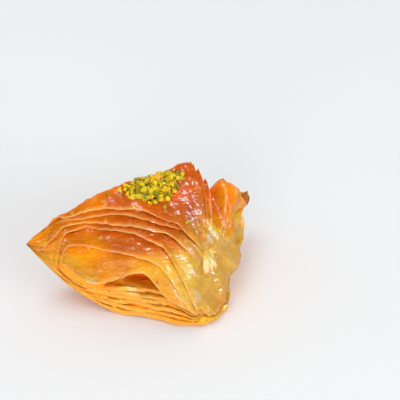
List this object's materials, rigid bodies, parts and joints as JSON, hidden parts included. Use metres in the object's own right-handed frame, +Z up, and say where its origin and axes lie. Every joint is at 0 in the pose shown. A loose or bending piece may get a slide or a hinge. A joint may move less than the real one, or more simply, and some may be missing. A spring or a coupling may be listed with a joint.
{
  "type": "baklava piece",
  "caption": "Syrup-soaked phyllo pastry folded corner to corner into a thick triangle, its flaky leaves fanned out along the open edges, with chopped pistachio on top.",
  "frame": {"origin": "centre of the bounding box on the surface that the piece rests on", "axes": "+X along the fold from the pointed end to the fanned end, +Y from the nose to the fold, +Z up"},
  "size_m": [0.082, 0.0406, 0.0435],
  "materials": {
    "pastry": "browned phyllo glazed with syrup, glossy and slightly translucent"
  },
  "bodies": {
    "root": {"pastry": "pastry"}
  },
  "joints": []
}
